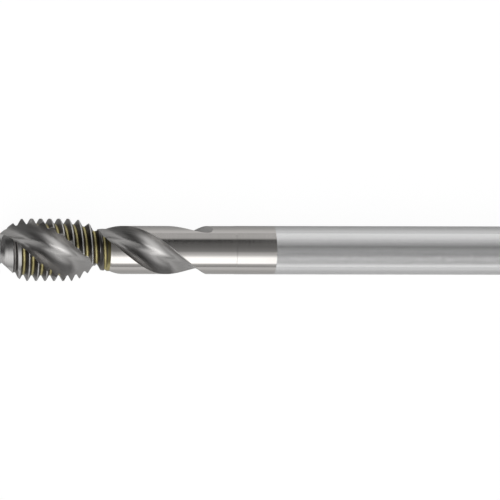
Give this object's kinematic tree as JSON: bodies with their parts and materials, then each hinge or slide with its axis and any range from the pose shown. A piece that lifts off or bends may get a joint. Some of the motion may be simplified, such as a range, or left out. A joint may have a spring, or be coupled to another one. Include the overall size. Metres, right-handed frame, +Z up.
{
  "type": "machine tap",
  "caption": "Spiral-flute machine tap for cutting internal threads, with tapered cutting lead, slim neck, round shank and driving square.",
  "frame": {"origin": "below the middle of the tap's length, at the height of its lowest thread crest", "axes": "+X along the tap's axis from the cutting tip to the driving square, +Z up with the tap lying down, Y across"},
  "size_m": [0.11, 0.012, 0.012],
  "materials": {
    "tool_steel": "ground tool steel: bright polished neck, satin shank, darker ground flutes and thread"
  },
  "bodies": {
    "root": {"tap": "tool_steel"}
  },
  "joints": []
}
